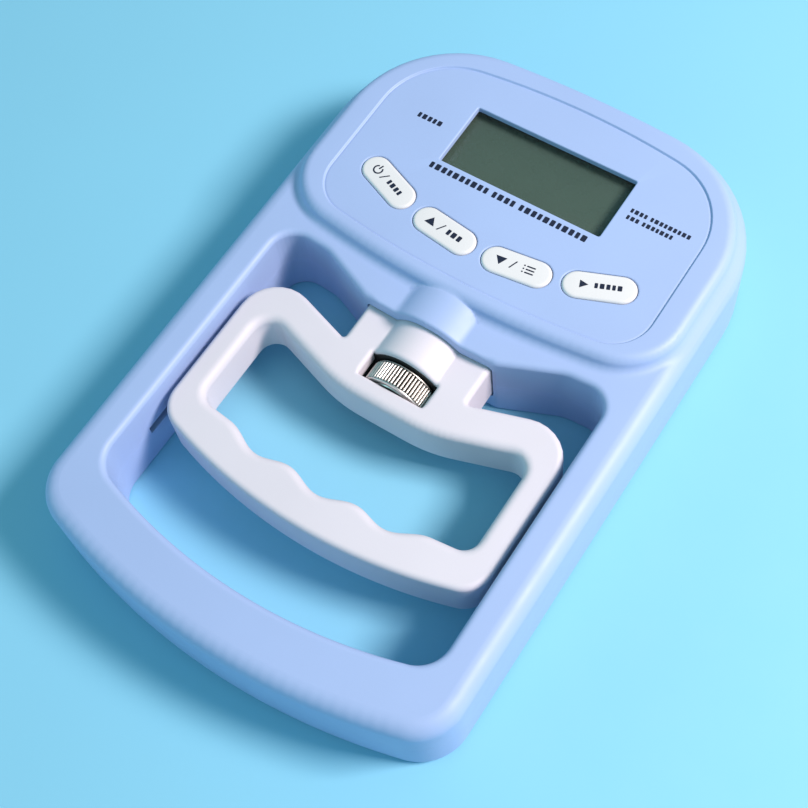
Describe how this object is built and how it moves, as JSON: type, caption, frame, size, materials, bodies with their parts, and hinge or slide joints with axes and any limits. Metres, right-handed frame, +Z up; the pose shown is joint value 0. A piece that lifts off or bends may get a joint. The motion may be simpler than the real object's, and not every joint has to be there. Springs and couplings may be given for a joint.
{
  "type": "hand dynamometer",
  "caption": "Electronic hand dynamometer: flat D-shaped case with a display head, a sliding grip handle in its opening and a thumbwheel that sets the grip span.",
  "frame": {"origin": "centre of the box's base: the instrument lies on its back, its back face at z = 0", "axes": "+X across the width, +Y from the palm bar to the display end, +Z up, out of the display"},
  "size_m": [0.125, 0.1906, 0.03],
  "materials": {
    "case_blue": "satin moulded",
    "handle_white": "satin moulded",
    "key_white": "satin, printed pictogram",
    "nickel": "straight knurled, plated",
    "steel": "zinc plated",
    "aluminium": "milled",
    "clear_window": "polished acrylic",
    "display": "reflective display glass",
    "black_plastic": "moulded",
    "board": "solder mask",
    "silicone": "moulded",
    "foil": "foil gauge",
    "battery": "sleeve",
    "lead_red": "insulated lead",
    "lead_grey": "insulated lead"
  },
  "bodies": {
    "case": {"front_shell": "case_blue", "rear_shell": "case_blue", "display_window": "clear_window", "display_glass": "display", "display_holder": "black_plastic", "contact_strip": "silicone", "main_board": "board", "controller_chip": "black_plastic", "buzzer": "black_plastic", "key_sheet": "silicone", "load_cell": "aluminium", "load_cell_lead": "lead_grey", "battery_a": "battery", "battery_b": "battery", "spring_contact_a": "steel", "spring_contact_b": "steel", "flat_contact_a": "steel", "flat_contact_b": "steel", "battery_lead": "lead_red", "case_screw_1": "steel", "case_screw_2": "steel", "case_screw_3": "steel", "case_screw_4": "steel", "case_screw_5": "steel", "case_screw_6": "steel", "board_screw_1": "steel", "board_screw_2": "steel", "board_screw_3": "steel", "board_screw_4": "steel", "load_cell_screw_1": "steel", "strain_gauge_1": "foil", "load_cell_screw_2": "steel", "strain_gauge_2": "foil"},
    "handle": {"handle_front": "handle_white", "handle_rear": "handle_white", "thrust_washer": "steel", "handle_screw_1": "steel", "handle_screw_2": "steel", "handle_screw_3": "steel", "handle_screw_4": "steel"},
    "wheel": {"thumbwheel": "nickel", "threaded_rod": "steel", "wheel_pin": "steel", "stop_ring": "steel"},
    "key_power": {"button_power": "key_white"},
    "key_up": {"button_up": "key_white"},
    "key_down": {"button_down": "key_white"},
    "key_start": {"button_start": "key_white"},
    "cover": {"battery_cover": "case_blue"}
  },
  "joints": [
    {"name": "handle_slide", "type": "slide", "parent": "case", "child": "handle", "axis": [0, 1, 0], "range_m": [-0.01, 0.009]},
    {"name": "thumbwheel_spin", "type": "hinge", "parent": "handle", "child": "wheel", "pos_m": [0, -0.0087, 0.0145], "axis": [0, 1, 0], "range_deg": [-3610, 3250]},
    {"name": "button_power_press", "type": "slide", "parent": "case", "child": "key_power", "axis": [0, 0, -1], "range_m": [0, 0.0008], "stiffness_N_per_m": 150, "springref_m": -0.002},
    {"name": "button_up_press", "type": "slide", "parent": "case", "child": "key_up", "axis": [0, 0, -1], "range_m": [0, 0.0008], "stiffness_N_per_m": 150, "springref_m": -0.002},
    {"name": "button_down_press", "type": "slide", "parent": "case", "child": "key_down", "axis": [0, 0, -1], "range_m": [0, 0.0008], "stiffness_N_per_m": 150, "springref_m": -0.002},
    {"name": "button_start_press", "type": "slide", "parent": "case", "child": "key_start", "axis": [0, 0, -1], "range_m": [0, 0.0008], "stiffness_N_per_m": 150, "springref_m": -0.002},
    {"name": "battery_cover_tilt", "type": "hinge", "parent": "case", "child": "cover", "pos_m": [0, 0.0642, 0], "axis": [-1, 0, 0], "range_deg": [0, 60]}
  ],
  "couplings": [
    {"joint": "thumbwheel_spin", "follows": "handle_slide", "rad_per_m": 6283.2}
  ]
}
